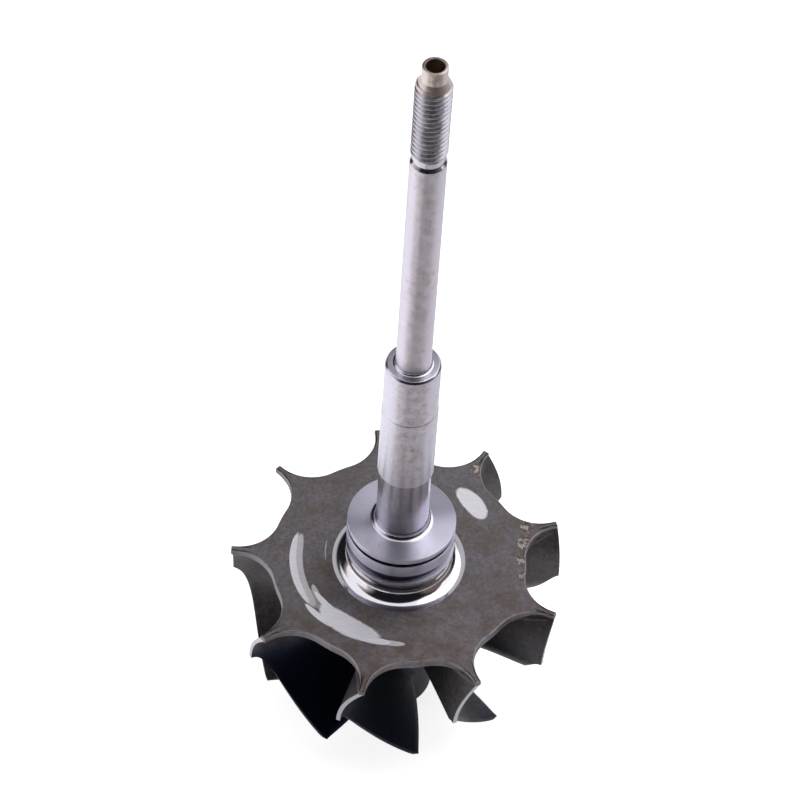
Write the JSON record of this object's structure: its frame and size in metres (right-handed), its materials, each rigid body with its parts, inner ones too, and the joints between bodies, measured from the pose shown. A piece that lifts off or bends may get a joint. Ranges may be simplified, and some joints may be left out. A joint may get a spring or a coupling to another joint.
{
  "type": "turbocharger turbine wheel with shaft",
  "caption": "Radial turbine wheel of a small turbocharger with a scalloped back disc, welded to its seal ring carrier, bearing journal and threaded shaft.",
  "frame": {"origin": "centre of the flat end face of the wheel's nose", "axes": "+Z along the shaft from the nose to the threaded end, -Y through the middle of blade_1's arm"},
  "size_m": [0.0497, 0.0495, 0.1319],
  "materials": {
    "cast_alloy": "fine grained investment casting, grey brown",
    "ground_steel": "turned and ground"
  },
  "bodies": {
    "root": {"wheel_hub": "cast_alloy", "blade_1": "cast_alloy", "blade_2": "cast_alloy", "blade_3": "cast_alloy", "blade_4": "cast_alloy", "blade_5": "cast_alloy", "blade_6": "cast_alloy", "blade_7": "cast_alloy", "blade_8": "cast_alloy", "blade_9": "cast_alloy", "shaft": "ground_steel"}
  },
  "joints": []
}
